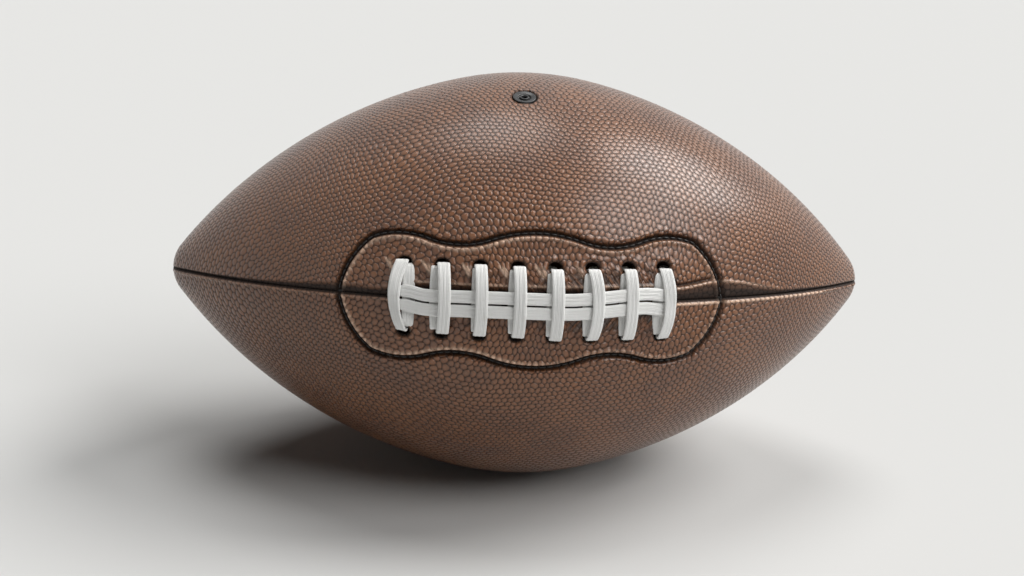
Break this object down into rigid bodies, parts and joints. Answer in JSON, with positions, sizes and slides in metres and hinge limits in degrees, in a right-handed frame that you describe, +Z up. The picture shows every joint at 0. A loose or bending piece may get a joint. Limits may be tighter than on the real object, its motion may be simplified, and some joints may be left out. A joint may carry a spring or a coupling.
{
  "type": "american football",
  "caption": "Laced prolate ball of pebbled leather panels, lying on its side with the laces to the front and the inflation valve above them.",
  "frame": {"origin": "middle of the small flat that the ball rests on", "axes": "+X along the ball's length, +Z up, the laces face -Y and a little upwards"},
  "size_m": [0.291, 0.1719, 0.1685],
  "materials": {
    "leather": "pebbled, satin",
    "lining": "woven cotton laminate",
    "bladder": "matte",
    "valve": "satin",
    "plug": "matte",
    "lace": "ribbed, slightly glossy",
    "facing": "matte",
    "thread": "waxed"
  },
  "bodies": {
    "root": {"cover_upper_front": "leather", "cover_lower_front": "leather", "cover_upper_back": "leather", "cover_lower_back": "leather", "lining_upper_front": "lining", "lining_lower_front": "lining", "lining_upper_back": "lining", "lining_lower_back": "lining", "bladder": "bladder", "valve_boot": "bladder", "valve_body": "valve", "valve_plug": "plug", "lace": "lace", "lace_facing_upper": "facing", "lace_facing_lower": "facing", "lace_tongue": "facing", "seam_thread_front": "thread", "seam_thread_top": "thread", "seam_thread_back": "thread", "seam_thread_bottom": "thread", "facing_thread_upper": "thread", "facing_thread_lower": "thread"}
  },
  "joints": []
}
